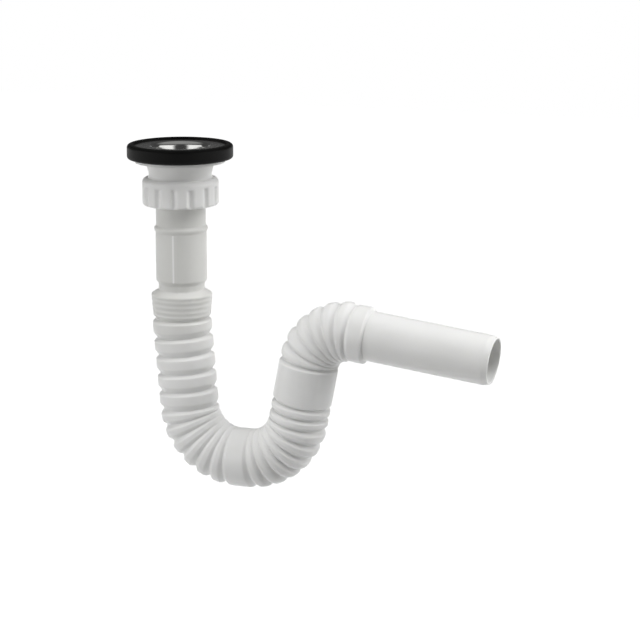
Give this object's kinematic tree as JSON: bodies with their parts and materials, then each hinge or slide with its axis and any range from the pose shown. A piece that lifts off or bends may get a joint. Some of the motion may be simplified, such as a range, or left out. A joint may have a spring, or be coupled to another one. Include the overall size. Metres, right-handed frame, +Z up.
{
  "type": "corrugated basin trap",
  "caption": "Corrugated plastic basin trap: a clamped basin waste with a steel strainer, a slip nut and a blown bellows hose bent into a water seal with a plain outlet tail.",
  "frame": {"origin": "on the waste's axis, at the clamping plane between its two gaskets, where the basin's floor goes", "axes": "+Z up along the waste's axis, +X towards the outlet in the plane of the bends, +Y across that plane"},
  "size_m": [0.2456, 0.068, 0.2226],
  "materials": {
    "stainless_steel": "polished pressing",
    "black_rubber": "moulded, satin",
    "white_polypropylene": "moulded and blown, semi-gloss",
    "insert_brass": "turned",
    "washer_polyethylene": "moulded, waxy"
  },
  "bodies": {
    "waste": {"waste_body": "white_polypropylene", "insert_nut": "insert_brass", "seat_gasket": "black_rubber"},
    "strainer": {"strainer_cup": "stainless_steel", "rim_gasket": "black_rubber"},
    "screw": {"strainer_screw": "stainless_steel"},
    "seal": {"tapered_washer": "washer_polyethylene"},
    "nut": {"slip_nut": "white_polypropylene"},
    "hose": {"trap_hose": "white_polypropylene"}
  },
  "joints": [
    {"name": "strainer_lift", "type": "slide", "parent": "waste", "child": "strainer", "axis": [0, 0, 1], "range_m": [0, 0.008]},
    {"name": "screw_turn", "type": "hinge", "parent": "strainer", "child": "screw", "pos_m": [0, 0, -0.0057], "axis": [0, 0, 1], "range_deg": [0, 2880]},
    {"name": "nut_travel", "type": "slide", "parent": "waste", "child": "seal", "axis": [0, 0, 1], "range_m": [-0.00924, 0]},
    {"name": "nut_turn", "type": "hinge", "parent": "seal", "child": "nut", "pos_m": [0, 0, -0.0259], "axis": [0, 0, 1], "range_deg": [-1440, 0]},
    {"name": "hose_swivel", "type": "hinge", "parent": "waste", "child": "hose", "pos_m": [0, 0, -0.0224], "axis": [0, 0, 1], "continuous": true}
  ],
  "couplings": [
    {"joint": "screw_turn", "follows": "strainer_lift", "rad_per_m": 6283.2},
    {"joint": "nut_turn", "follows": "nut_travel", "rad_per_m": 2721.2}
  ]
}
